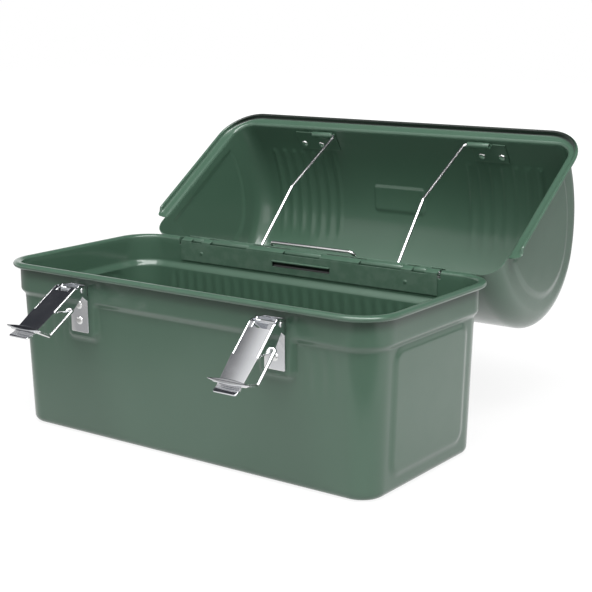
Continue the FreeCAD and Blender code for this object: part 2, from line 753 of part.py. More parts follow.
os.makedirs("parts", exist_ok=True)
lid = rivet_holes(handle_rivet_places(), rivet_holes(catch_rivet_places(), lid_shell()))
save("base_tub", rivet_holes(latch_rivet_places(), base_tub()))
save("lid_shell", on_lid(lid))
save("base_hinge_leaf", base_hinge_leaf())
save("lid_hinge_leaf", on_lid(lid_hinge_leaf()))
save("hinge_pin", hinge_pin())
save("latch_rivets", latch_rivets())
save("catch_rivets", on_lid(catch_rivets()))
save("handle_rivets", on_lid(handle_rivets()))
save("bottle_bail", on_lid(bottle_bail()))
save("handle_bail", on_handle(handle_bail()))
save("handle_grip", on_handle(handle_grip()))
for name, side, angle in (("left", -1, left_lever_angle), ("right", 1, right_lever_angle)):
    at_pivot = Vector(side * latch_offset, pivot_y, pivot_z)
    plate = rivet_holes(latch_rivet_places(), latch_plate().translated(at_pivot))
    save("latch_plate_" + name, plate)
    save("lever_pin_" + name, lever_pin().translated(at_pivot))
    save("lever_" + name, on_lever(lever(), side, angle))
    save("bail_wire_" + name, on_lever(bail_wire(), side, angle))
    save("hook_bar_" + name, on_lever(hook_bar(), side, angle))
    save("catch_" + name, on_lid(rivet_holes(catch_rivet_places(), catch(side))))
    save("bottle_bracket_" + name, on_lid(rivet_holes(catch_rivet_places(), bottle_bracket(side))))
    save("handle_bracket_" + name, on_lid(rivet_holes(handle_rivet_places(), handle_bracket(side))))
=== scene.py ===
import math

import bmesh
import bpy
import numpy as np
from mathutils import Matrix


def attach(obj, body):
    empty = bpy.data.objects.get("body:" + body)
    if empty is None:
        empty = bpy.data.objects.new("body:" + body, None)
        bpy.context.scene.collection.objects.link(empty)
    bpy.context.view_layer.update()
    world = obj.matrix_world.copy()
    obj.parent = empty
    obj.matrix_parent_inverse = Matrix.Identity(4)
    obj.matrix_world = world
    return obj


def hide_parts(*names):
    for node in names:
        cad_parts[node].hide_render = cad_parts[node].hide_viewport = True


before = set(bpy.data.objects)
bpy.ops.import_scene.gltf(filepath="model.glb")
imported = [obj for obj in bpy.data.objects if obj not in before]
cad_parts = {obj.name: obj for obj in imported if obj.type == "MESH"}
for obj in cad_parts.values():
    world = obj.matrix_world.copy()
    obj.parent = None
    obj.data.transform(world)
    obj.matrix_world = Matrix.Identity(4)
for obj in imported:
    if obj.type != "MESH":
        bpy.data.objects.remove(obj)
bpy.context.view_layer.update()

# Lengths are millimetres in the CAD part's frame, until a mesh is made.
METRES = 0.001

# Tub
BAND_LENGTH, BAND_WIDTH, BAND_CORNER = 320.0, 148.3, 23.3
RIM_HEIGHT, LEDGE_HEIGHT, LEDGE_STEP = 122.4, 98.7, 2.9
SIDE_DRAFT, FLOOR_RADIUS, TUB_WALL = 3.3, 5.0, 1.2
BEAD_HALF_WIDTH, BEAD_HALF_HEIGHT, BEAD_OUT = 3.1, 2.2, 1.9
HINGE_GAP, HINGE_EDGE = 120.5, 116.9
# Lid, about the hinge line with the lid shut
LID_WALL, LID_MIDDLE, OPEN_ANGLE = 0.6, -77.5, 145.6
DOME_HALF_LENGTH, DOME_HALF_WIDTH = 158.7, 72.2
DOME_HEIGHT, WALL_HEIGHT, CROWN_RADIUS = 105.4, 14.0, 60.0
END_LEAN, END_RADIUS, FLANGE_LOW = 5.6, 14.98, 2.7
SKIRT_LOW, HEM_RADIUS, SKIRT_SETBACK, SKIRT_OUT = -1.2, 1.2, 25.0, 6.65
HINGE = (0.0, 77.5, 120.0)
SLOT_LOW, SLOT_HIGH = -10.6, -6.3
CROWN_LEVEL, FRONT_WALL = DOME_HEIGHT - CROWN_RADIUS, LID_MIDDLE - DOME_HALF_WIDTH
# Flask holder and handle, for the shut lid
FLASK_ARMS, FLASK_BEND, FLASK_AXIS, TUBE_LENGTH = {-1: 56.5, 1: 67.0}, 3.0, (-144.5, 6.0), 19.0
LUG_RISE, LUG_RADIUS, LUG_SPAN, HANDLE_RIVET_Y = 5.2, 4.3, (44.0, 55.0), 11.0
# Latches, about the lever's pivot with the lever shut
LATCH_X, PIVOT_Y, PIVOT_Z = 86.0, -81.5, 111.3
CROSS_Y, CROSS_Z, BEND_Z, TIP_Z = -7.0, -49.58, -51.98, -56.98
LEVER_ANGLES = {"left": 58.5, "right": 45.0}
SIDES = {"left": -1, "right": 1}
# A slab: the width of the flat ring round its face, and the order of its coordinates by its axis
FACE_RING = 0.04
AXES = {"x": (2, 0, 1), "y": (0, 2, 1)}
# A direction that no piece runs along, and a left-right mirror
DIAGONAL = np.array([0.577, 0.577, 0.577])
MIRROR = np.array([-1.0, 1.0])


def smooth(value, low, high):
    """A soft step from 0 below low to 1 above high: 3t^2 - 2t^3 of the share t between them."""
    share = np.clip((value - low) / (high - low), 0.0, 1.0)
    return share * share * (3 - 2 * share)


def round_ways(turn):
    """Unit directions at angles in a plane: (cos t, sin t)."""
    return np.stack([np.cos(turn), np.sin(turn)], -1)


def about_x(points, degrees, place):
    """Points turned about the x axis, then carried to a place."""
    turn = math.radians(degrees)
    x, y, z = np.moveaxis(np.asarray(points, float), -1, 0)
    turned_y = y * math.cos(turn) - z * math.sin(turn)
    turned_z = y * math.sin(turn) + z * math.cos(turn)
    return np.stack([x + place[0], turned_y + place[1], turned_z + place[2]], -1)


def move(degrees, place):
    """The move that turns points about the x axis, then carries them to a place."""
    return lambda points: about_x(points, degrees, place)


# From the shut lid to the lid that stands open, and from the hinge line to the tub
on_lid, at_hinge = move(-OPEN_ANGLE, HINGE), move(0.0, HINGE)


def on_handle(points):
    """Points given for an upright handle about its pivot, hung down from the open lid."""
    return on_lid(about_x(points, OPEN_ANGLE - 180, (0.0, LID_MIDDLE, DOME_HEIGHT + LUG_RISE)))


def cells(rows, columns, wrap_rows=False, wrap_columns=False):
    """Corner numbers of the four-sided cells of a grid of points."""
    row = np.arange(rows if wrap_rows else rows - 1)
    column = np.arange(columns if wrap_columns else columns - 1)
    i, j = np.meshgrid(row, column, indexing="ij")
    next_i, next_j = (i + 1) % rows, (j + 1) % columns
    corners = [i * columns + j, i * columns + next_j, next_i * columns + next_j, next_i * columns + j]
    return np.stack(corners, -1).reshape(-1, 4)


def skin(points, wrap_rows=False, caps=False):
    """A shell from a grid of points, with closed rows. Caps fill its first and last row."""
    rows, columns = points.shape[:2]
    ring = np.arange(columns)
    ends = [ring[::-1].tolist(), (ring + (rows - 1) * columns).tolist()] if caps else []
    return points.reshape(-1, 3), cells(rows, columns, wrap_rows, True), ends


def sheet(outside, inside):
    """A closed sheet of metal between two grids of points with the same rows and columns."""
    rows, columns = outside.shape[:2]
    count = rows * columns
    number = np.arange(count).reshape(rows, columns)
    border = np.concatenate([number[0, :], number[1:, -1], number[-1, -2::-1], number[-2:0:-1, 0]])
    after = np.roll(border, -1)
    rim = np.stack([border, after, after + count, border + count], -1)
    faces = cells(rows, columns)
    points = np.concatenate([outside.reshape(-1, 3), inside.reshape(-1, 3)])
    return points, np.concatenate([faces, faces + count, rim]), []


def object_of(name, data):
    """An object at the origin that shows some data, put into the scene."""
    made = bpy.data.objects.new(name, data)
    bpy.context.scene.collection.objects.link(made)
    return made


def piece(name, body, replaced, coat, shells, place=None, crease=38.0):
    """One object from closed shells: doubles merged, faces outwards, soft shading up to a crease angle.

    The coat is the part's material slot, which is not used, and the finish that shows it.
    """
    slot, finish = coat
    whole = bmesh.new()
    for points, faces, ends in shells:
        points = np.asarray(points, float)
        if place is not None:
            points = place(points)
        part = bpy.data.meshes.new(name)
        part.from_pydata((points * METRES).tolist(), [], faces.tolist() + ends)
        shell = bmesh.new()
        shell.from_mesh(part)
        bmesh.ops.remove_doubles(shell, verts=shell.verts, dist=2e-6)
        bmesh.ops.dissolve_degenerate(shell, dist=1e-6, edges=shell.edges)
        bmesh.ops.recalc_face_normals(shell, faces=shell.faces)
        shell.to_mesh(part)
        shell.free()
        whole.from_mesh(part)
        bpy.data.meshes.remove(part)
    mesh = bpy.data.meshes.new(name)
    whole.to_mesh(mesh)
    whole.free()
    mesh.polygons.foreach_set("use_smooth", np.ones(len(mesh.polygons), bool))
    mesh.set_sharp_from_angle(angle=math.radians(crease))
    mesh.materials.append(finish)
    made = object_of(name, mesh)
    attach(made, body)
    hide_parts(replaced)
    return made


def bent_line(corners, radius, per_bend=9):
    """Straight runs between corner points, joined by tangent arcs.

    Round each bend a point is centre + radius (spoke cos t + coming sin t).
    """
    corners = [np.asarray(c, float) for c in corners]
    line = [corners[0][None]]
    shares = np.linspace(0.0, 1.0, per_bend)[:, None]
    for before, corner, after in zip(corners, corners[1:], corners[2:]):
        coming = (corner - before) / np.linalg.norm(corner - before)
        going = (after - corner) / np.linalg.norm(after - corner)
        half = math.acos(np.clip(coming @ going, -1.0, 1.0)) / 2
        if half < 1e-6:
            continue
        across = (going - coming) / np.linalg.norm(going - coming)
        centre = corner + across * radius / math.cos(half)
        spoke = (corner - coming * radius * math.tan(half) - centre) / radius
        turn = 2 * half * shares
        line.append(centre + radius * (spoke * np.cos(turn) + coming * np.sin(turn)))
    line.append(corners[-1][None])
    return np.concatenate(line)


def rounded(corners, radius, per_bend=6):
    """A closed flat outline with round corners, which starts in the middle of its last side."""
    corners = [np.asarray(c, float) for c in corners]
    middle = (corners[-1] + corners[0]) / 2
    return bent_line([middle] + corners + [middle], radius, per_bend)[:-1]


def miters(line, closed):
    """Sideways directions along a flat line, longer at its corners so that offsets keep their width."""
    runs = np.roll(line, -1, 0) - line
    if not closed:
        runs[-1] = runs[-2]
    ahead = runs / np.maximum(np.linalg.norm(runs, axis=1, keepdims=True), 1e-9)
    side = np.stack([ahead[:, 1], -ahead[:, 0]], -1)
    before = np.roll(side, 1, 0)
    if not closed:
        before[0] = side[0]
    share = np.maximum(1 + (side * before).sum(1, keepdims=True), 0.35)
    return (side + before) / share


def strip(line, thickness):
    """Outline of a strip of sheet along a flat line: the line moved half a thickness each way."""
    out = miters(line, False) * thickness / 2
    return np.concatenate([line + out, (line - out)[::-1]])


def slab(outline, start, end, edge, axis="x"):
    """A flat outline carried straight from start to end along an axis, with quarter-round edges.

    The outline gives (y, z) for x and (x, z) for y.
    Its offset at each level is edge (1 - sin t), and a narrow flat ring borders each face.
    """
    x, y = outline.T
    area = (x * np.roll(y, -1) - np.roll(x, -1) * y).sum()
    out = miters(outline, True) * np.sign(area)
    turn = np.radians(np.array([0.0, 30.0, 60.0, 90.0]))
    inset = np.concatenate([[edge + FACE_RING], edge * (1 - np.sin(turn))])
    depth = np.concatenate([[0.0], edge * (1 - np.cos(turn))])
    inset = np.concatenate([inset, inset[::-1]])
    level = np.concatenate([start + depth, end - depth[::-1]])
    flat = outline[None] - inset[:, None, None] * out[None]
    height = np.broadcast_to(level[:, None, None], flat.shape[:2] + (1,))
    points = np.concatenate([flat, height], -1)[..., AXES[axis]]
    return skin(points, caps=True)


def rings(ahead, around):
    """Unit circles square to directions: first cos t + second sin t."""
    first = np.cross(ahead, DIAGONAL)
    first /= np.linalg.norm(first, axis=-1, keepdims=True)
    second = np.cross(ahead, first)
    turn = np.linspace(0.0, 2 * np.pi, around, endpoint=False)[:, None]
    return np.cos(turn) * first[..., None, :] + np.sin(turn) * second[..., None, :]


def wire(corners, bend, radius, around=14):
    """Round wire: a circle of the radius carried along straight runs and bends, with softened ends."""
    line = bent_line(corners, bend)
    ahead = np.gradient(line, axis=0)
    ahead[0], ahead[-1] = line[1] - line[0], line[-1] - line[-2]
    ahead /= np.linalg.norm(ahead, axis=1, keepdims=True)
    soft = 0.35 * radius
    start, end = line[:1], line[-1:]
    line = np.concatenate([start, start + ahead[:1] * soft, line[1:-1], end - ahead[-1:] * soft, end])
    ahead = np.concatenate([ahead[:1], ahead, ahead[-1:]])
    size = np.full(len(line), radius)
    size[[0, -1]] -= soft
    return skin(line[:, None] + size[:, None, None] * rings(ahead, around), caps=True)


def turned(profile, place, axis, around=28):
    """A turned piece: a profile of (radius, distance along the axis) carried round the axis."""
    radius, run = np.asarray(profile, float).T[:, :, None, None]
    axis = np.asarray(axis, float) / np.linalg.norm(axis)
    return skin(np.asarray(place) + run * axis + radius * rings(axis, around))


# Shader node groups and finishes


def group(name, inputs):
    """A shader node group and its inputs, given as name: starting value, with outputs for a surface."""
    tree = bpy.data.node_groups.new(name, "ShaderNodeTree")
    for label, start in inputs.items():
        kind = {1: "NodeSocketFloat", 3: "NodeSocketVector", 4: "NodeSocketColor"}[np.size(start)]
        tree.interface.new_socket(label, in_out="INPUT", socket_type=kind).default_value = start
    for label, kind in (("Color", "Color"), ("Roughness", "Float"), ("Height", "Float")):
        tree.interface.new_socket(label, in_out="OUTPUT", socket_type="NodeSocket" + kind)
    return tree, tree.nodes.new("NodeGroupInput").outputs


def feed(tree, sockets, values):
    """Link outputs to a node's sockets, or set the sockets' own values."""
    for key, value in values.items():
        if isinstance(value, bpy.types.NodeSocket):
            tree.links.new(value, sockets[key])
        else:
            sockets[key].default_value = value


def node(tree, kind, values=None, **settings):
    """A node with its settings and what feeds its sockets."""
    made = tree.nodes.new(kind)
    for key, value in settings.items():
        setattr(made, key, value)
    feed(tree, made.inputs, values or {})
    return made


def noise(tree, where, scale, detail, rough=0.5):
    """A fractal noise on a coordinate."""
    values = {"Vector": where, "Scale": scale, "Detail": detail, "Roughness": rough}
    return node(tree, "ShaderNodeTexNoise", values).outputs["Fac"]


def spread(tree, value, low, high, bottom, top):
    """A value mapped softly from one span to another."""
    values = {"Value": value, "From Min": low, "From Max": high, "To Min": bottom, "To Max": top}
    return node(tree, "ShaderNodeMapRange", values, interpolation_type="SMOOTHSTEP").outputs["Result"]


def blend(tree, share, first, second):
    """Two colours mixed by a share."""
    return node(tree, "ShaderNodeMix", {"Factor": share, 6: first, 7: second}, data_type="RGBA").outputs[2]


def sum_of(tree, first, second, way="ADD"):
    """Arithmetic on two values."""
    return node(tree, "ShaderNodeMath", {0: first, 1: second}, operation=way).outputs["Value"]


def along(tree, place, way):
    """How far a place lies along a direction."""
    return node(tree, "ShaderNodeVectorMath", {0: place, 1: way}, operation="DOT_PRODUCT").outputs["Value"]


def coated_film():
    """Sprayed film: drifting colour, thin pale film on edges, painted shade that darkens the colour towards
    near-black, orange peel, cloudy gloss.
    """
    tree, given = group("coated_film", {
        "Place": (0, 0, 0), "Edge": 0.0, "Painted Shade": 0.0, "Film": (0.1, 0.1, 0.1, 1),
        "Pale": (0.2, 0.2, 0.2, 1), "Gloss": 0.4})
    place, pale = given["Place"], given["Pale"]
    drift = spread(tree, noise(tree, place, 14.0, 3.0), 0.1, 0.9, 0.0, 0.2)
    rubbed = spread(tree, noise(tree, place, 160.0, 4.0), 0.35, 0.65, 0.25, 0.8)
    worn = sum_of(tree, given["Edge"], rubbed, "MULTIPLY")
    toned = blend(tree, drift, given["Film"], pale)
    rubbed_edge = blend(tree, worn, toned, pale)
    cloud = spread(tree, noise(tree, place, 45.0, 4.0), 0.1, 0.9, -0.05, 0.06)
    # Painted shade: where points are marked as lying in shade, the colour goes to near-black
    node(tree, "NodeGroupOutput", {
        "Color": blend(tree, given["Painted Shade"], rubbed_edge, (0.002, 0.003, 0.0025, 1)),
        "Roughness": sum_of(tree, given["Gloss"], cloud), "Height": noise(tree, place, 520.0, 2.0)})
    return tree


def rubbed_metal():
    """Plated steel: streaks along x, finger smears in the gloss, dull spots and brightly rubbed edges."""
    tree, given = group("rubbed_metal", {
        "Place": (0, 0, 0), "Edge": 0.0, "Metal": (0.6, 0.6, 0.6, 1), "Dull": (0.4, 0.4, 0.4, 1),
        "Bright": (0.9, 0.9, 0.9, 1), "Gloss": 0.2, "Streaks": 0.1})
    place = given["Place"]
    stretch = {"Vector": place, "Scale": (0.05, 1.0, 1.0)}
    long = node(tree, "ShaderNodeMapping", stretch, vector_type="POINT").outputs["Vector"]
    streak = noise(tree, long, 2600.0, 3.0, 0.6)
    smear = spread(tree, noise(tree, place, 70.0, 4.0), 0.35, 0.75, 0.0, 0.06)
    spots = spread(tree, noise(tree, place, 420.0, 3.0), 0.62, 0.78, 0.0, 0.25)
    spotted = blend(tree, spots, given["Metal"], given["Dull"])
    lines = sum_of(tree, sum_of(tree, streak, given["Streaks"], "MULTIPLY"), smear)
    node(tree, "NodeGroupOutput", {
        "Color": blend(tree, given["Edge"], spotted, given["Bright"]),
        "Roughness": sum_of(tree, given["Gloss"], lines), "Height": streak})
    return tree


def finish_of(name, effect, values, bump, settings):
    """A material whose colour, roughness and bump come from one effect group, by place and edges."""
    made = bpy.data.materials.new(name)
    made.use_nodes = True
    tree = made.node_tree
    where = node(tree, "ShaderNodeTexCoord").outputs["Object"]
    shape = node(tree, "ShaderNodeNewGeometry")
    edge = spread(tree, shape.outputs["Pointiness"], 0.53, 0.62, 0.0, 1.0)
    look = node(tree, "ShaderNodeGroup", {"Place": where, "Edge": edge, **values}, node_tree=effect)
    # Painted shade: the gap attribute, marked on the tub and the lid, darkens the film's colour
    if "Painted Shade" in look.inputs:
        gap = node(tree, "ShaderNodeAttribute", attribute_name="gap")
        feed(tree, look.inputs, {"Painted Shade": gap.outputs["Fac"]})
    strength, distance = bump
    height = {"Strength": strength, "Distance": distance, "Height": look.outputs["Height"]}
    relief = node(tree, "ShaderNodeBump", height)
    feed(tree, tree.nodes["Principled BSDF"].inputs, {
        "Base Color": look.outputs["Color"], "Roughness": look.outputs["Roughness"],
        "Normal": relief.outputs["Normal"], **settings})
    return made


film, plating = coated_film(), rubbed_metal()


def plated(name, metal, dull, bright, gloss, bump):
    """A plated steel finish from three greys, a gloss and the strength of its streaks' bump."""
    values = {"Metal": metal, "Dull": dull, "Bright": bright, "Gloss": gloss, "Streaks": 0.08}
    return finish_of(name, plating, values, (bump, 0.0001), {"Metallic": 1.0})


painted = ("shell_paint", finish_of(
    "green_enamel", film,
    {"Film": (0.050, 0.104, 0.069, 1), "Pale": (0.085, 0.140, 0.104, 1), "Gloss": 0.33},
    (0.08, 0.0002), {"Specular IOR Level": 0.3, "Coat Weight": 0.7, "Coat Roughness": 0.12}))
sheet_steel = ("plated_steel", plated(
    "plated_sheet", (0.72, 0.73, 0.75, 1), (0.55, 0.56, 0.57, 1), (0.9, 0.9, 0.9, 1), 0.08, 0.03))
wire_steel = ("bright_wire", plated(
    "bright_wire", (0.74, 0.74, 0.74, 1), (0.60, 0.61, 0.62, 1), (0.92, 0.92, 0.92, 1), 0.12, 0.03))
rivet_steel = ("rivet_steel", plated(
    "rivet_plate", (0.76, 0.76, 0.75, 1), (0.50, 0.50, 0.49, 1), (0.9, 0.9, 0.9, 1), 0.14, 0.04))
moulded = ("grip_plastic", finish_of(
    "grip_moulding", film,
    {"Film": (0.022, 0.025, 0.022, 1), "Pale": (0.045, 0.048, 0.044, 1), "Gloss": 0.34},
    (0.12, 0.0002), {"Specular IOR Level": 0.5}))


# Tub


def band_path():
    """Points and outward directions round the band's outline, and which points lie in the hinge gap.

    The outline is a rectangle with round corners, so any reach r of it is point + r * direction.
    """
    half_x, half_y, corner = BAND_LENGTH / 2, BAND_WIDTH / 2, BAND_CORNER
    bend = np.radians(np.linspace(0.0, 90.0, 17))[1:-1, None]
    hair = 1e-3
    jumps = [-HINGE_GAP, -HINGE_GAP + hair, HINGE_GAP - hair, HINGE_GAP]
    points, ways = [], []
    for way_x, way_y in ((0.0, -1.0), (1.0, 0.0), (0.0, 1.0), (-1.0, 0.0)):
        way, ahead = np.array([way_x, way_y]), np.array([-way_y, way_x])
        depth, reach, count = (half_x, half_y, 53) if way_x else (half_y, half_x, 177)
        run = np.linspace(corner - reach, reach - corner, count)
        if way_y > 0:
            run = np.sort(np.concatenate([run, jumps]))
        turning = way * np.cos(bend) + ahead * np.sin(bend)
        centre = way * (depth - corner) + ahead * (reach - corner)
        points += [way * depth + ahead * run[:, None], centre + corner * turning]
        ways += [np.tile(way, (len(run), 1)), turning]
    points, ways = np.concatenate(points), np.concatenate(ways)
    in_gap = (points[:, 1] > half_y - 1e-6) & (np.abs(points[:, 0]) < HINGE_GAP - hair / 2)
    return points, ways, in_gap


def wall_line(level):
    """Reach of the pressed wall at a level: a leaning lower wall and a soft step out to the band."""
    lean = -LEDGE_STEP - SIDE_DRAFT * (1 - level / LEDGE_HEIGHT)
    return lean * (1 - smooth(level, LEDGE_HEIGHT - 1.6, LEDGE_HEIGHT + 3.6))


def past_outline(far_x, far_y, corner):
    """Signed distance from a round-cornered outline, by how far a point lies past the corners' centres."""
    outside = np.hypot(np.maximum(far_x, 0.0), np.maximum(far_y, 0.0))
    return outside + np.minimum(np.maximum(far_x, far_y), 0.0) - corner


def soft_panel(across, up, half, low, high, corner, edge):
    """1 on a rectangle with round corners and 0 off it, from the signed distance to its outline."""
    far_x = np.abs(across) - (half - corner)
    far_z = np.abs(up - (low + high) / 2) - ((high - low) / 2 - corner)
    return 1 - smooth(past_outline(far_x, far_z, corner), -edge, edge)


def pressed(points, ways, level):
    """Extra reach pressed into the tub's wall: end panels, latch pads, flutes and the slot's pocket."""
    x, y = points.T[:, None]
    way_x, way_y = ways.T[:, None]
    z = level[:, None]
    far = np.abs(x)
    on_end, on_front, on_back = np.abs(way_x) > 0.99, way_y < -0.99, way_y > 0.99
    panel = 1.2 * soft_panel(y, z, half=45.0, low=12.5, high=95.7, corner=9.0, edge=1.6) * on_end
    pad = soft_panel(far - LATCH_X, z, half=13.8, low=74.6, high=140.0, corner=4.0, edge=1.4) * on_front
    back_flute = np.cos(x * 2 * np.pi / 9.4) * smooth(z, 50.0, 84.0) * (1 - smooth(z, 88.0, 97.0))
    back_flute = 0.6 * back_flute * (1 - smooth(far, 122.0, 132.0)) * on_back
    front_flute = np.cos((far - 114.0) * 2 * np.pi / 10.4) * smooth(z, 60.0, 78.0)
    front_flute = 0.34 * front_flute * (1 - smooth(z, 88.0, 96.0)) * on_front
    front_flute = front_flute * smooth(far, 103.0, 108.0) * (1 - smooth(far, 130.0, 135.0))
    low, high = SLOT_LOW + HINGE[2], SLOT_HIGH + HINGE[2]
    pocket = 0.9 * soft_panel(x, z, half=27.5, low=low, high=high, corner=0.6, edge=0.7) * on_back
    raised = panel + back_flute + front_flute + pocket
    return raised + pad * (-wall_line(z) - raised)


def drawn_tub():
    """The tub as one closed profile of (reach, level) carried round the band's outline.

    It runs out from the floor, up the pressed wall, round the rolled rim, and down the inside to the floor.
    At the hinge gap the rolled rim becomes a plain round edge.
    """
    points, ways, in_gap = band_path()
    floor_ring, half_wall, bowl = 6.0, TUB_WALL / 2, FLOOR_RADIUS - TUB_WALL
    turn = np.radians(np.linspace(0.0, 90.0, 8))
    low_wall = np.linspace(FLOOR_RADIUS, LEDGE_HEIGHT - 2.0, 46)[1:]
    step = np.linspace(LEDGE_HEIGHT - 1.6, LEDGE_HEIGHT + 3.6, 12)
    band = np.linspace(LEDGE_HEIGHT + 5.0, 116.0, 18)
    level = np.concatenate([[0.0], FLOOR_RADIUS * (1 - np.cos(turn)), low_wall, step, band])
    foot = wall_line(np.array([FLOOR_RADIUS]))[0]
    wall = wall_line(level[len(turn) + 1:])
    raised = pressed(points, ways, level)
    curl = foot - FLOOR_RADIUS * (1 - np.sin(turn))
    outer = np.concatenate([[curl[0] - floor_ring], curl, wall])[:, None] + raised
    roll = np.linspace(0.0, 1.0, 22)[:, None]
    rim_turn = np.radians(-127.8 + 307.8 * roll)
    edge_turn = np.pi * roll
    edge_reach = half_wall * (np.cos(edge_turn) - 1)
    edge_level = HINGE_EDGE + half_wall * (np.sin(edge_turn) - 1)
    rim_reach = np.where(in_gap, edge_reach, BEAD_OUT + BEAD_HALF_WIDTH * np.cos(rim_turn))
    rim_level = np.where(in_gap, edge_level, RIM_HEIGHT + BEAD_HALF_HEIGHT * (np.sin(rim_turn) - 1))
    deep = np.maximum(level, TUB_WALL)
    deep[1:len(turn) + 1] = TUB_WALL + bowl * (1 - np.cos(turn))
    inner_curl = foot - TUB_WALL - bowl * (1 - np.sin(turn))
    inner = np.concatenate([[inner_curl[0] - floor_ring], inner_curl, wall - TUB_WALL])[:, None] + raised
    out = np.concatenate([outer, rim_reach, inner[::-1]])
    whole_level, whole_deep = [np.broadcast_to(row[:, None], outer.shape) for row in (level, deep[::-1])]
    high = np.concatenate([whole_level, rim_level, whole_deep])
    flat = points[None] + out[..., None] * ways[None]
    return skin(np.concatenate([flat, high[..., None]], -1), caps=True)


def points_of(made):
    """The points of an object, in millimetres."""
    place = np.empty(3 * len(made.data.vertices), np.float32)
    made.data.vertices.foreach_get("co", place)
    return place.reshape(-1, 3) / METRES


def paint_shade(made, share):
    """Painted shade on each point of an object, standing for how little light it gets: one is dark, nought
    is open.
    """
    gap = made.data.attributes.new("gap", "FLOAT", "POINT")
    gap.data.foreach_set("value", np.asarray(share, np.float32))


def shade_tub(made):
    """Paint shade on the tub: black in the pocket behind the hinge slot, and a soft painted shadow on the
    wall under the rolled rim.
    """
    x, y, z = points_of(made).T
    margin = 1.5
    pocket = (np.abs(x) < 27.0 + margin) & (y > 72.0) & (y < 74.0)
    pocket &= (z > SLOT_LOW + HINGE[2] - margin) & (z < SLOT_HIGH + HINGE[2] + margin)
    far_x = np.abs(x) - (BAND_LENGTH / 2 - BAND_CORNER)
    far_y = np.abs(y) - (BAND_WIDTH / 2 - BAND_CORNER)
    out = past_outline(far_x, far_y, BAND_CORNER)
    under_rim = (out > -0.4) & (out < 2.0) & (z < 118.6)
    paint_shade(made, np.maximum(pocket, 0.55 * under_rim * smooth(z, 109.5, 117.5)))


tub = piece("drawn_tub", "base", "base_tub", painted, [drawn_tub()], crease=50.0)
shade_tub(tub)


# Lid


def arch_arcs():
    """Radius of the dome's side arcs, and the slope where side and crown arcs meet."""
    rise = DOME_HEIGHT - WALL_HEIGHT
    side = DOME_HALF_WIDTH ** 2 + (rise - CROWN_RADIUS) ** 2 - CROWN_RADIUS ** 2
    side = side / (2 * (DOME_HALF_WIDTH - CROWN_RADIUS))
    return side, math.atan2(CROWN_LEVEL - WALL_HEIGHT, side - DOME_HALF_WIDTH)


def arch(count_wall=6, count_back=18, count_front=58, count_crown=30):
    """Points and outward directions along the dome's arch, from back foot over the crown to front foot.

    Two upright walls, two side arcs and one crown arc meet in line.
    An inset d of the arch is point - d * direction.
    """
    side, slope = arch_arcs()
    wall = np.linspace(FLANGE_LOW, WALL_HEIGHT, count_wall)[:-1]
    back = np.stack([np.full_like(wall, DOME_HALF_WIDTH), wall], -1)
    flank_ways, flanks = [], []
    for count in (count_back, count_front):
        turn = np.linspace(0.0, slope, count)[:-1]
        flank_ways.append(round_ways(turn))
        flanks.append(np.array([DOME_HALF_WIDTH - side, WALL_HEIGHT]) + side * flank_ways[-1])
    top = np.linspace(slope, np.pi - slope, count_crown)
    crown_way = round_ways(top)
    crown = np.array([0.0, CROWN_LEVEL]) + CROWN_RADIUS * crown_way
    points = np.concatenate([back, flanks[0], crown, (flanks[1] * MIRROR)[::-1], (back * MIRROR)[::-1]])
    sideways = np.tile([1.0, 0.0], (len(wall), 1))
    ways = [sideways, flank_ways[0], crown_way, (flank_ways[1] * MIRROR)[::-1], (sideways * MIRROR)[::-1]]
    return points, np.concatenate(ways)


def arch_depth(y, z):
    """How deep a point lies inside the dome's arch: the arc's radius less the distance to its centre."""
    side, slope = arch_arcs()
    far = np.abs(y)
    crown = CROWN_RADIUS - np.hypot(far, z - CROWN_LEVEL)
    flank = side - np.hypot(far - DOME_HALF_WIDTH + side, np.maximum(z - WALL_HEIGHT, 0.0))
    on_crown = (z - CROWN_LEVEL) * math.cos(slope) > far * math.sin(slope)
    return np.where(on_crown, crown, flank)


def dome_embossing(x, up):
    """Inward pressing of the dome's front wall: upright ribs in two groups and a bare plate place."""
    spacing, fade = 10.5, 4.0
    ribs = np.zeros_like(x + up)
    for low, high in ((-137.8, -64.3), (58.0, 131.5)):
        inside = smooth(x, low, low + fade) * (1 - smooth(x, high - fade, high))
        ribs = np.maximum(ribs, inside * (0.5 - 0.5 * np.cos((x - low) * 2 * np.pi / spacing)) ** 1.5)
    lessening = 1 - 0.45 * smooth(up, 52.0, 82.0)
    ribs = ribs * smooth(up, 26.5, 31.0) * lessening * (1 - smooth(up, 86.0, 97.0))
    bare = soft_panel(x + 8.0, up, half=24.5, low=55.0, high=74.0, corner=2.5, edge=0.6)
    return 1.3 * ribs + 1.2 * bare


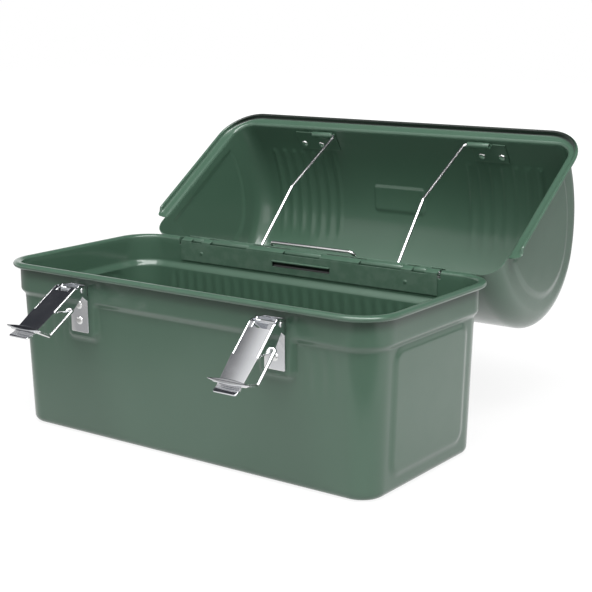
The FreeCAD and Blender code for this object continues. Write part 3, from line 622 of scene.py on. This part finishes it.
def drawn_dome():
    """The dome as a sheet over (arch, length): the arch along x, drawn in by R (1 - cos t) at each end.

    The end walls fill in between the drawn-in arch and a straight foot line, and lean in with height.
    """
    points, ways = arch()
    run = np.concatenate([[0.0], np.cumsum(np.linalg.norm(np.diff(points, axis=0), axis=1))])
    foot_y = (DOME_HALF_WIDTH - END_RADIUS) * (1 - 2 * run / run[-1])[:, None]
    flat_end = DOME_HALF_LENGTH - END_RADIUS
    straight = np.linspace(0.0, flat_end, 136)
    turn = np.radians(np.linspace(0.0, 90.0, 11))[1:]
    inward = np.linspace(0.0, 1.0, 40)[1:]
    end_x = np.full_like(inward, DOME_HALF_LENGTH)
    half_x = np.concatenate([straight, flat_end + END_RADIUS * np.sin(turn), end_x])
    half_turn = np.concatenate([np.zeros_like(straight), turn, np.full_like(inward, np.pi / 2)])
    half_fill = np.concatenate([np.zeros(len(straight) + len(turn)), inward])
    length, around = [np.concatenate([-half[:0:-1], half])[None] for half in (half_x, half_turn)]
    fill = np.concatenate([half_fill[:0:-1], half_fill])[None]
    inset = END_RADIUS * (1 - np.cos(around))
    y = points[:, 0, None] - ways[:, 0, None] * inset
    z = points[:, 1, None] - ways[:, 1, None] * inset
    y, z = y + (foot_y - y) * fill, z + (FLANGE_LOW - z) * fill
    on_end = np.abs(around) > np.pi / 2 - 1e-6
    front = (ways[:, 0, None] < -0.3) & (around == 0)
    panel = 0.9 * smooth(arch_depth(y, z), 25.0, 28.0) * smooth(z, 11.0, 14.0) * on_end
    skin_inset = 0.02
    out = panel - dome_embossing(length, z) * front - skin_inset
    side_share = np.where(on_end, 0.0, np.cos(around))
    shells = []
    for depth in (0.0, LID_WALL):
        moved = out - depth
        moved_y = y + ways[:, 0, None] * moved * side_share + LID_MIDDLE
        foot_z = np.where(moved_y < -SKIRT_SETBACK - 1.0, 5.0, FLANGE_LOW)
        moved_z = np.maximum(z + ways[:, 1, None] * moved * side_share, foot_z)
        x = length * (1 - END_LEAN / DOME_HALF_LENGTH * z / DOME_HEIGHT) + np.sin(around) * moved
        shells.append(np.stack([x, moved_y, moved_z], -1))
    return sheet(*shells)


def brim_path():
    """Matching points on the dome's foot and skirt outlines from right end to left end, and ways out.

    Both run along an end, the front and the other end, with closer points near where they stop.
    """
    bend = np.radians(np.linspace(0.0, -90.0, 19))
    steps = np.linspace(0.0, 1.0, 40)[:-1, None] ** 1.8
    middle = np.linspace(1.0, -1.0, 80)[1:-1, None]
    lines = []
    for half_x, half_y, corner in (
            (DOME_HALF_LENGTH - 0.15, DOME_HALF_WIDTH, END_RADIUS),
            (BAND_LENGTH / 2 + SKIRT_OUT, BAND_WIDTH / 2 + SKIRT_OUT, BAND_CORNER + SKIRT_OUT)):
        centre = np.array([half_x - corner, LID_MIDDLE - half_y + corner])
        right = centre + corner * round_ways(bend)
        start = np.array([half_x, -SKIRT_SETBACK])
        side = start + (right[0] - start) * steps
        front = np.concatenate([middle * (half_x - corner), np.full_like(middle, LID_MIDDLE - half_y)], -1)
        lines.append(np.concatenate([side, right, front, (right * MIRROR)[::-1], (side * MIRROR)[::-1]]))
    ahead = np.gradient(lines[1], axis=0)
    ahead /= np.linalg.norm(ahead, axis=1, keepdims=True)
    return lines[0], lines[1], np.stack([-ahead[:, 1], ahead[:, 0]], -1)


def drawn_brim():
    """Flange, skirt and hem: a closed profile carried round three sides of the lid.

    Each point is a share between foot outline and skirt outline, plus a reach out from there, at its level.
    Near both ends the brim narrows in a round curve, and its skirt lifts to the flange.
    """
    foot, skirt, out = brim_path()
    bend = 2.6
    turn = np.radians(np.linspace(0.0, 90.0, 7))
    quarter = np.radians(np.linspace(0.0, 90.0, 5))
    hem = np.radians(np.linspace(180.0, 480.0, 22))
    hem_level = SKIRT_LOW + HEM_RADIUS
    rows = [
        (0.0, -0.62 + bend * (1 - np.cos(turn)), FLANGE_LOW + bend * (1 - np.sin(turn))),
        (1.0, -2.2 + 1.6 * np.sin(quarter), 1.1 + 1.6 * np.cos(quarter)),
        (1.0, 0.6 + HEM_RADIUS * np.cos(hem), hem_level + HEM_RADIUS * np.sin(hem)),
        (1.0, -2.2 + 2.2 * np.cos(quarter), 1.1 + 2.2 * np.sin(quarter)),
        (0.0, 1.2 - 1.2 * np.sin(quarter), 4.5 - 1.2 * np.cos(quarter))]
    share = np.concatenate([np.full(len(reach), part) for part, reach, level in rows])
    reach = np.concatenate([r for part, r, level in rows])
    level = np.concatenate([z for part, r, z in rows])
    from_end = (-skirt[:, 1] - SKIRT_SETBACK)[:, None, None]
    near_end = 1 - np.clip(from_end / 4.5, 0.0, 1.0)
    wide = 0.45 + 0.55 * np.sqrt(1 - near_end ** 2)
    deep = 0.03 + 0.97 * smooth(from_end, 4.2, 8.0)
    across = (skirt - foot)[:, None] * share[:, None] + out[:, None] * reach[:, None]
    flat = foot[:, None] + across * wide
    high = np.where(level > FLANGE_LOW, level, FLANGE_LOW + (level - FLANGE_LOW) * deep[..., 0])[..., None]
    return skin(np.concatenate([flat, high], -1), caps=True)


def shade_hem(made):
    """Paint shade into the groove inside the front skirt and onto the hem's inner half, strongest along the
    front.
    """
    x, y, z = about_x(points_of(made) - np.array(HINGE), OPEN_ANGLE, (0.0, 0.0, 0.0)).T
    corner = BAND_CORNER + SKIRT_OUT
    far_x = np.abs(x) - (BAND_LENGTH / 2 + SKIRT_OUT - corner)
    far_y = LID_MIDDLE - y - (BAND_WIDTH / 2 + SKIRT_OUT - corner)
    out = past_outline(far_x, far_y, corner)
    groove = (out > -2.0) & (out < -0.55) & (z < 2.3)
    hem = (out > -0.7) & (out < 0.9) & (z < SKIRT_LOW + HEM_RADIUS)
    paint_shade(made, 0.9 * (groove | hem) * smooth(far_y, 6.0, 22.0))


lid = piece("drawn_lid", "lid", "lid_shell", painted, [drawn_dome(), drawn_brim()], on_lid, crease=50.0)
shade_hem(lid)


# Back hinge, about the hinge line

KNUCKLES = [17.0, 52.0, 88.0, 97.0, 107.5, 118.0]


def knuckle_spans(first):
    """Spans of every second knuckle along the hinge, with a small gap at each end."""
    edges = np.array([-x for x in reversed(KNUCKLES)] + KNUCKLES)
    return [(a + 0.15, b - 0.15) for a, b in zip(edges[first:-1:2], edges[first + 1::2])]


def rolled_round(start, end, radius=2.4, count=22):
    """A roll of sheet about a line, from one angle to another."""
    return radius * round_ways(np.radians(np.linspace(start, end, count)))


def loop(low_x, high_x, low_z, high_z):
    """Points round a rectangle, 24 on each side."""
    share = np.linspace(0.0, 1.0, 24, endpoint=False)[:, None]
    corners = np.array([(low_x, low_z), (high_x, low_z), (high_x, high_z), (low_x, high_z)])
    return np.concatenate([a + (b - a) * share for a, b in zip(corners, np.roll(corners, -1, 0))])


def slotted_plate(outside, slot, start, end, edge):
    """A plate in x and z with one slot: a closed section carried round, from the slot to the outside."""
    rows = []
    for level, sunk in ((start, start + edge), (end, end - edge)):
        slot_rows = [(slot, sunk), (slot + edge * miters(slot, True), level)]
        outside_rows = [(outside - edge * miters(outside, True), level), (outside, sunk)]
        face = slot_rows + outside_rows
        rows += face if level == start else face[::-1]
    rows = [np.stack([line[:, 0], np.full(len(line), level), line[:, 1]], -1) for line, level in rows]
    return skin(np.stack(rows, 1), wrap_rows=True)


def tub_hinge_strip():
    """Leaf on the tub's inner back face with a slot under a small lip, and straps rolled into knuckles."""
    leaf = loop(-118.0, 118.0, -15.5, -0.6)
    slot = loop(-26.5, 26.5, SLOT_LOW, SLOT_HIGH)
    shells = [slotted_plate(leaf, slot, -5.35, -4.55, 0.15)]
    rolled = np.concatenate([[(-4.93, -1.4), (-4.93, 0.3)], rolled_round(140.0, -190.0)])
    for start, end in knuckle_spans(0):
        shells.append(slab(strip(rolled, 0.7), start, end, 0.15))
    lip = np.array([(-5.1, SLOT_HIGH + 0.3), (-6.95, SLOT_HIGH - 0.1)])
    shells.append(slab(strip(lip, 0.7), -26.5, 26.5, 0.2))
    for x in (-97.0, 92.0):
        weld = [(0, 0.4), (0.8, 0.35), (1.5, 0.15), (1.8, -0.05), (0, -0.2)]
        shells.append(turned(weld, (x, -5.35, -8.6), (0, -1, 0), 18))
    return shells


def lid_hinge_strip():
    """Leaf on the lid's inner back face with its own rolled knuckles, for the shut lid."""
    leaf = np.array([(-6.3, 14.0), (-6.3, 1.6)])
    shells = [slab(strip(leaf, 0.8), -118.0, 118.0, 0.2)]
    rolled = np.concatenate([[(-6.3, 2.1), (-1.4, 2.15)], rolled_round(100.0, -200.0)])
    for start, end in knuckle_spans(1):
        shells.append(slab(strip(rolled, 0.8), start, end, 0.15))
    return shells


def pin(head, around):
    """A pin along x with the same turned head at both ends."""
    return [turned(head + [(r, -z) for r, z in reversed(head)], (0, 0, 0), (1, 0, 0), around)]


def hinge_rod():
    """Long pin that ends just inside its last knuckles."""
    return pin([(0, 117.4), (1.2, 117.4), (1.5, 117.1)], 18)


piece("tub_hinge_strip", "base", "base_hinge_leaf", painted, tub_hinge_strip(), at_hinge)
piece("lid_hinge_strip", "lid", "lid_hinge_leaf", painted, lid_hinge_strip(), on_lid)
piece("hinge_rod", "base", "hinge_pin", sheet_steel, hinge_rod(), at_hinge)


# Latches, about the lever's pivot with the lever shut


def latch_backplate():
    """Riveted plate with two upright ears."""
    half, low, high, thickness = 8.25, -32.3, 2.4, 1.2
    plate = rounded([(half, low), (half, high), (-half, high), (-half, low)], 1.0)
    ear = rounded([(6.9, -9.6), (6.9, high), (-1.6, 3.2), (-3.2, 1.6), (-3.2, -1.6), (-1.07, -3.2)], 0.8)
    shells = [slab(plate, 6.15, 6.15 + thickness, 0.25, "y")]
    for start in (-half, half - thickness):
        shells.append(slab(ear, start, start + thickness, 0.25))
    return shells


def latch_lever():
    """Channel lever: notched face bent into side ears with curled edges, and a flared finger tongue."""
    shoulder, half, tip_half, face, thickness = -29.0, 10.25, 9.0, -5.7, 1.0
    bend_half = half - (half - tip_half) * (shoulder - BEND_Z) / (shoulder - TIP_Z)
    across = np.linspace(-1.0, 1.0, 17)[None]
    level = np.linspace(-8.2, BEND_Z - 0.4, 46)[:, None]
    tapered = half + (bend_half - half) * (shoulder - level) / (shoulder - BEND_Z)
    x = across * np.where(level > -28.6, 9.5, tapered)
    x, y, z = np.broadcast_arrays(x, face + 0.2 * across ** 2, level)
    shells = [sheet(np.stack([x, y, z], -1), np.stack([x, y + thickness, z], -1))]
    for start, end in ((-9.5, -5.5), (5.5, 9.5)):
        tab = rounded([(end, -3.8), (start, -3.8), (start, -8.5), (end, -8.5)], 0.5, 4)
        shells.append(slab(tab, -5.6, -4.6, 0.3, "y"))
    flare = math.atan2(1.3, 5.0)
    tongue = rounded([(bend_half, 0.4), (-bend_half, 0.4), (-tip_half, -5.05), (tip_half, -5.05)], 1.4)
    points, faces, ends = slab(tongue, 0.0, thickness, 0.3, "y")
    shells.append((about_x(points, -math.degrees(flare), (0.0, face, BEND_Z)), faces, ends))
    ear = rounded([
        (-4.9, -3.6), (-4.4, -1.9), (-1.6, 3.2), (1.6, 3.2), (3.2, 0.0), (6.0, -16.0), (3.5, -18.5),
        (-2.2, -23.8), (-4.4, -28.6), (-4.9, -28.6)], 0.2, 5)
    for side in (-1, 1):
        start, end = sorted([side * 9.25, side * 10.25])
        shells.append(slab(ear, start, end, 0.3))
        bend = [(side * 9.4, -4.85, -4.0), (side * 9.4, -4.85, -28.8)]
        shells.append(wire(bend, 1.0, 0.85, 16))
        curled = [(5.2, -16.6), (3.6, -18.4), (-2.3, -23.7), (-5.0, -28.6)]
        shells.append(wire([(side * 9.6, y, z) for y, z in curled], 1.2, 0.9, 12))
    return shells


def lever_rivet():
    """Pin with low round heads."""
    return pin([(0, 11.2), (1.2, 11.1), (1.85, 10.8), (2.0, 10.4), (1.2, 10.4)], 20)


def mirrored_line(half):
    """Corner points of a bent line from its right half, with the left half as the mirror image."""
    return half + [(-x, y, z) for x, y, z in reversed(half)]


def latch_bail():
    """Wire bail folded along the lever, with its cross wire in front of the lever."""
    half = [(9.2, 3.5, -16.0), (12.5, 3.5, -16.0), (12.5, 3.5, CROSS_Z + 6.6), (12.5, CROSS_Y, CROSS_Z)]
    return [wire(mirrored_line(half), 1.8, 1.1)]


def latch_hook():
    """Pointed hook bar: a lens outline of two arcs, carried through its thickness with round edges."""
    half, rise = 16.5, 2.25
    x = np.linspace(-half, half, 34)
    arc = (half ** 2 + rise ** 2) / (2 * rise)
    bow = 0.85 * (np.sqrt(arc ** 2 - x ** 2) - (arc - rise))
    lower, upper = [np.stack([0.985 * x, CROSS_Z + way * bow], -1) for way in (-1, 1)]
    return [slab(np.concatenate([lower, upper[-2:0:-1]]), -8.85, -7.25, 0.45, "y")]


def rivet_head(place, way, radius=3.0, height=1.1):
    """A low domed head: height times the root of 1 - (r / radius)^2.6, flat on its seat."""
    share = np.linspace(0.0, 1.0, 9)
    profile = [(radius * s, height * math.sqrt(max(0.0, 1 - s ** 2.6))) for s in share]
    return turned(profile + [(radius, -0.3), (0.0, -0.3)], place, way)


def rivet(place, way, length):
    """The two heads of a rivet that holds sheets together over its length."""
    place, way = np.array(place, float), np.array(way, float)
    return [rivet_head(place, way), rivet_head(place - length * way, -way)]


latch_heads = []
for name, side in SIDES.items():
    pivot = (side * LATCH_X, PIVOT_Y, PIVOT_Z)
    still, turning = move(0.0, pivot), move(-LEVER_ANGLES[name], pivot)
    lever, bail = "lever_" + name, "bail_" + name
    piece("latch_backplate_" + name, "base", "latch_plate_" + name, sheet_steel, latch_backplate(), still)
    piece("lever_rivet_" + name, "base", "lever_pin_" + name, sheet_steel, lever_rivet(), still)
    piece("latch_lever_" + name, lever, "lever_" + name, sheet_steel, latch_lever(), turning)
    piece("latch_bail_" + name, bail, "bail_wire_" + name, wire_steel, latch_bail(), turning)
    piece("latch_hook_" + name, bail, "hook_bar_" + name, sheet_steel, latch_hook(), turning)
    for level in (87.5, 98.7):
        latch_heads += rivet((side * LATCH_X, -75.35, level), (0, -1, 0), 2.4)
piece("latch_rivet_heads", "base", "latch_rivets", rivet_steel, latch_heads)


# Catches and flask holder on the lid's front wall, for the shut lid


def front_line(inset, low, high, count=12):
    """The front wall's line at an inset, between two levels."""
    points, ways = arch()
    line = points - ways * inset
    line = line[line[:, 0] < 0]
    level = np.linspace(low, high, count)
    order = np.argsort(line[:, 1])
    y = np.interp(level, line[order, 1], line[order, 0])
    return np.stack([y + LID_MIDDLE, level], -1)


def lid_catch(side):
    """Outside catch: a riveted plate along the wall with a trough that the hook bar drops into."""
    middle, floor, lip = side * LATCH_X, 7.4, FRONT_WALL - 7.6
    plate = front_line(-0.5, 7.2, 25.2)
    trough = bent_line([plate[4], (plate[0][0], floor), (lip, floor), (lip, 10.5)], 0.8, 6)
    return [
        slab(strip(plate, 1.0), middle - 13.95, middle + 13.95, 0.25),
        slab(strip(trough, 1.0), middle - 10.0, middle + 10.0, 0.25)]


def flask_bracket(side):
    """Inside bracket: a riveted plate along the wall, with a rolled tube on its inner half."""
    inner = FLASK_ARMS[side] + FLASK_BEND
    ends = sorted([side * inner, side * (inner + TUBE_LENGTH)])
    spans = sorted([side * inner, side * 99.95])
    plate = front_line(1.1, 7.6, 25.2)
    roll = np.array(FLASK_AXIS) + rolled_round(88.0, -225.0, radius=1.95, count=24)
    shelf = np.concatenate([[plate[0] + (0.1, 0.4), (-144.9, 7.95)], roll])
    return [
        slab(strip(plate, 1.0), spans[0], spans[1], 0.25),
        slab(strip(shelf, 1.2), ends[0], ends[1], 0.25)]


def flask_wire():
    """Wire arms from the bracket tubes to a back bar with a finger loop, the left one nearer the middle."""
    halves = []
    for side in (-1, 1):
        arm = FLASK_ARMS[side]
        run = [
            (arm + FLASK_BEND + TUBE_LENGTH - 1.5, *FLASK_AXIS), (arm, *FLASK_AXIS), (62.0, -79.0, 6.5),
            (64.5, -12.5, 23.0), (38.0, -12.5, 23.0), (38.0, -9.6, 0.5)]
        halves.append([(side * x, y, z) for x, y, z in run])
    return [wire(halves[0] + halves[1][::-1], FLASK_BEND, 1.3)]


catch_heads = []
for name, side in SIDES.items():
    piece("lid_catch_" + name, "lid", "catch_" + name, sheet_steel, lid_catch(side), on_lid)
    piece("flask_bracket_" + name, "lid", "bottle_bracket_" + name, painted, flask_bracket(side), on_lid)
    for x in (side * LATCH_X - 8.75, side * LATCH_X + 8.75):
        catch_heads += rivet((x, FRONT_WALL - 1.0, 20.0), (0, -1, 0), 2.75)
piece("catch_rivet_heads", "lid", "catch_rivets", rivet_steel, catch_heads, on_lid)
piece("flask_wire", "bottle_bail", "bottle_bail", wire_steel, flask_wire(), on_lid)


# Carrying handle on the dome's crown, for the shut lid


def handle_saddle(side):
    """Saddle plate along the crown with a round lug."""
    start, end = sorted(side * x for x in LUG_SPAN)
    seat = CROWN_RADIUS + 0.7
    turn = np.arcsin(np.linspace(-16.2, 16.2, 21) / seat)
    plate = np.stack([LID_MIDDLE + seat * np.sin(turn), CROWN_LEVEL + seat * np.cos(turn)], -1)
    lug = np.array([0.0, LUG_RISE]) + rolled_round(-20.0, 200.0, radius=LUG_RADIUS, count=25)
    lug = np.concatenate([lug, [(-5.2, 0.5), (5.2, 0.5)]]) + (LID_MIDDLE, DOME_HEIGHT)
    return [slab(strip(plate, 1.2), start - 2.5, end + 2.5, 0.3), slab(lug, start, end, 0.4)]


def handle_bar():
    """Bent bar of the handle, upright, about its pivot."""
    half = [(43.0, 0.0, 0.0), (62.5, 0.0, 0.0), (62.5, 0.0, 34.0)]
    return [wire(mirrored_line(half), 6.5, 2.5, 20)]


def grip():
    """Moulded grip: a barrel whose radius follows 8.6 - 1.3 s^2, with rings pressed in near its ends."""
    share = np.linspace(-1.0, 1.0, 121)
    swell = 8.6 - 1.3 * share ** 2
    out, half, bore = np.abs(share), 44.0, 2.4
    grooves = sum(0.45 * np.exp(-((out - ring) / 0.018) ** 2) for ring in (0.86, 0.78))
    soft = 1.4 * (1 - np.sqrt(1 - np.clip((out - 0.965) / 0.035, 0.0, 1.0) ** 2))
    profile = np.stack([swell - grooves - soft, half * share], -1)
    closed = np.concatenate([[(bore, -half)], profile, [(bore, half), (bore, -half)]])
    return [turned(closed, (0.0, 0.0, 34.0), (1, 0, 0), 36)]


handle_heads = []
for name, side in SIDES.items():
    saddle = handle_saddle(side)
    piece("handle_saddle_" + name, "lid", "handle_bracket_" + name, sheet_steel, saddle, on_lid)
    for y in (-HANDLE_RIVET_Y, HANDLE_RIVET_Y):
        seat = CROWN_LEVEL + math.sqrt(CROWN_RADIUS ** 2 - y ** 2)
        handle_heads += rivet((side * sum(LUG_SPAN) / 2, LID_MIDDLE + y, seat + 1.3), (0, 0, 1), 2.15)
piece("handle_rivet_heads", "lid", "handle_rivets", rivet_steel, handle_heads, on_lid)
piece("handle_bar", "handle", "handle_bail", wire_steel, handle_bar(), on_handle)
piece("handle_grip_moulding", "handle", "handle_grip", moulded, grip(), on_handle)


# Studio


def studio_floor():
    """A wide pale floor under the tub, white for the camera. In reflections only it carries painted light:
    a glowing floor that dims far off and to the camera's left, and is nearly black from 0.3 m out towards
    the camera.
    """
    grid = np.linspace(-4000.0, 4000.0, 9)
    x, y = np.meshgrid(grid, grid, indexing="ij")
    points = np.stack([x, y, np.full_like(x, -0.4)], -1).reshape(-1, 3) * METRES
    mesh = bpy.data.meshes.new("studio_floor")
    mesh.from_pydata(points.tolist(), [], cells(len(grid), len(grid))[:, ::-1].tolist())
    made = object_of("studio_floor", mesh)
    paper = bpy.data.materials.new("studio_paper")
    paper.use_nodes = True
    tree = paper.node_tree
    tree.nodes.clear()
    where = node(tree, "ShaderNodeTexCoord").outputs["Object"]
    sees = node(tree, "ShaderNodeLightPath").outputs
    ahead = along(tree, where, (0.588, -0.809, 0.0))
    across = along(tree, where, (0.809, 0.588, 0.0))
    behind = along(tree, where, (0.588, 0.809, 0.0))
    # Painted reflection: a near-black strip of floor towards the camera, seen only in reflections
    beyond = spread(tree, ahead, 0.26, 0.34, 0.0, 1.0)
    offside = sum_of(tree, sum_of(tree, across, 0.08, "SUBTRACT"), 0.0, "ABSOLUTE")
    within = spread(tree, offside, 0.22, 0.36, 1.0, 0.0)
    dark = sum_of(tree, sum_of(tree, beyond, within, "MULTIPLY"), sees["Is Glossy Ray"], "MULTIPLY")
    # Painted reflection: how bright the floor glows in reflections, dimmer far off and to the camera's left
    near = spread(tree, behind, 0.10, 0.24, 0.92, 1.02)
    far = spread(tree, behind, 0.45, 0.70, 0.0, 0.68)
    leftward = spread(tree, across, -0.42, -0.14, 0.30, 1.0)
    mirrored = sum_of(tree, sum_of(tree, near, far, "SUBTRACT"), leftward, "MULTIPLY")
    seen = blend(tree, sees["Is Glossy Ray"], (1.0, 1.0, 1.0, 1), mirrored)
    shown = blend(tree, dark, seen, (0.02, 0.02, 0.02, 1))
    matt = node(tree, "ShaderNodeBsdfDiffuse", {"Color": (0.55, 0.55, 0.55, 1)})
    glow = node(tree, "ShaderNodeEmission", {"Color": shown, "Strength": 1.15})
    direct = sum_of(tree, sees["Is Camera Ray"], sees["Is Glossy Ray"], "MAXIMUM")
    reach = node(tree, "ShaderNodeVectorMath", {0: where}, operation="LENGTH").outputs["Value"]
    lifted = spread(tree, reach, 0.5, 1.4, 0.76, 1.0)
    share = sum_of(tree, direct, lifted, "MULTIPLY")
    mixed = node(tree, "ShaderNodeMixShader", {0: share, 1: matt.outputs[0], 2: glow.outputs[0]})
    node(tree, "ShaderNodeOutputMaterial", {"Surface": mixed.outputs[0]})
    mesh.materials.append(paper)


def studio_world():
    """White for the camera and near the horizon, a dark ceiling for reflections, and an even soft light."""
    white = (1.0, 1.0, 1.0, 1)
    world = bpy.data.worlds.new("studio_world")
    bpy.context.scene.world = world
    world.use_nodes = True
    tree = world.node_tree
    tree.nodes.clear()
    where = node(tree, "ShaderNodeTexCoord").outputs["Generated"]
    way = node(tree, "ShaderNodeSeparateXYZ", {0: where}).outputs
    height = spread(tree, way["Z"], 0.18, 0.55, 0.0, 1.0)
    ceiling = blend(tree, height, white, (0.04, 0.042, 0.05, 1))
    # Painted reflection: for reflections only, the sky is white towards the front except far to the left,
    # while its light stays even
    leftward = spread(tree, way["X"], -0.66, -0.52, 0.15, 1.0)
    forward = spread(tree, way["Y"], -0.12, 0.05, 1.0, 0.0)
    mirrored = blend(tree, sum_of(tree, leftward, forward, "MULTIPLY"), ceiling, white)
    sees = node(tree, "ShaderNodeLightPath").outputs
    even = blend(tree, sees["Is Glossy Ray"], (0.41, 0.41, 0.41, 1), mirrored)
    shown = blend(tree, sees["Is Camera Ray"], even, white)
    light = node(tree, "ShaderNodeBackground", {"Color": shown, "Strength": 1.0})
    node(tree, "ShaderNodeOutputWorld", {"Surface": light.outputs[0]})


def stand(made, right, up, away, place):
    """Put an object at a place, with its own axes along three directions."""
    axes = np.stack([right, up, away, place], -1)
    made.matrix_world = Matrix(axes.tolist() + [[0, 0, 0, 1]])


def softbox(name, place, aim, width, height, power):
    """A wide soft lamp that looks from its place to a point."""
    lamp = bpy.data.lights.new(name, "AREA")
    lamp.shape, lamp.size, lamp.size_y, lamp.energy = "RECTANGLE", width, height, power
    away = np.asarray(place, float) - np.asarray(aim, float)
    away /= np.linalg.norm(away)
    level = np.cross([0.0, 0.0, 1.0], away)
    level /= np.linalg.norm(level)
    stand(object_of(name, lamp), level, np.cross(away, level), away, place)


def camera():
    """The photograph's view, from a camera fitted to the box's edges."""
    turn, tilt, roll = np.radians([36.01, 12.43, -0.17])
    away = np.array([math.sin(turn) * math.cos(tilt), -math.cos(turn) * math.cos(tilt), math.sin(tilt)])
    level = np.array([math.cos(turn), math.sin(turn), 0.0])
    rise = np.cross(away, level)
    right = level * math.cos(roll) + rise * math.sin(roll)
    up = rise * math.cos(roll) - level * math.sin(roll)
    aim, distance = np.array([48.33, 0.0, 108.59]), 924.92
    lens = bpy.data.cameras.new("photo_camera")
    lens.lens, lens.sensor_width = 81.5, 36.0
    lens.clip_start, lens.clip_end = 0.02, 50.0
    made = object_of("photo_camera", lens)
    stand(made, right, up, away, (aim + away * distance) * METRES)
    bpy.context.scene.camera = made


studio_floor()
studio_world()
softbox("overhead_softbox", (1.15, -0.32, 1.55), (0.05, 0.05, 0.1), 0.8, 1.1, 20.0)
softbox("ceiling_softbox", (0.15, -0.75, 1.9), (0.0, 0.1, 0.1), 1.7, 1.0, 41.0)
softbox("front_softbox", (0.9, -1.8, 0.45), (0.0, 0.1, 0.16), 2.0, 0.8, 5.2)
camera()
bpy.context.scene.view_settings.view_transform = "Standard"
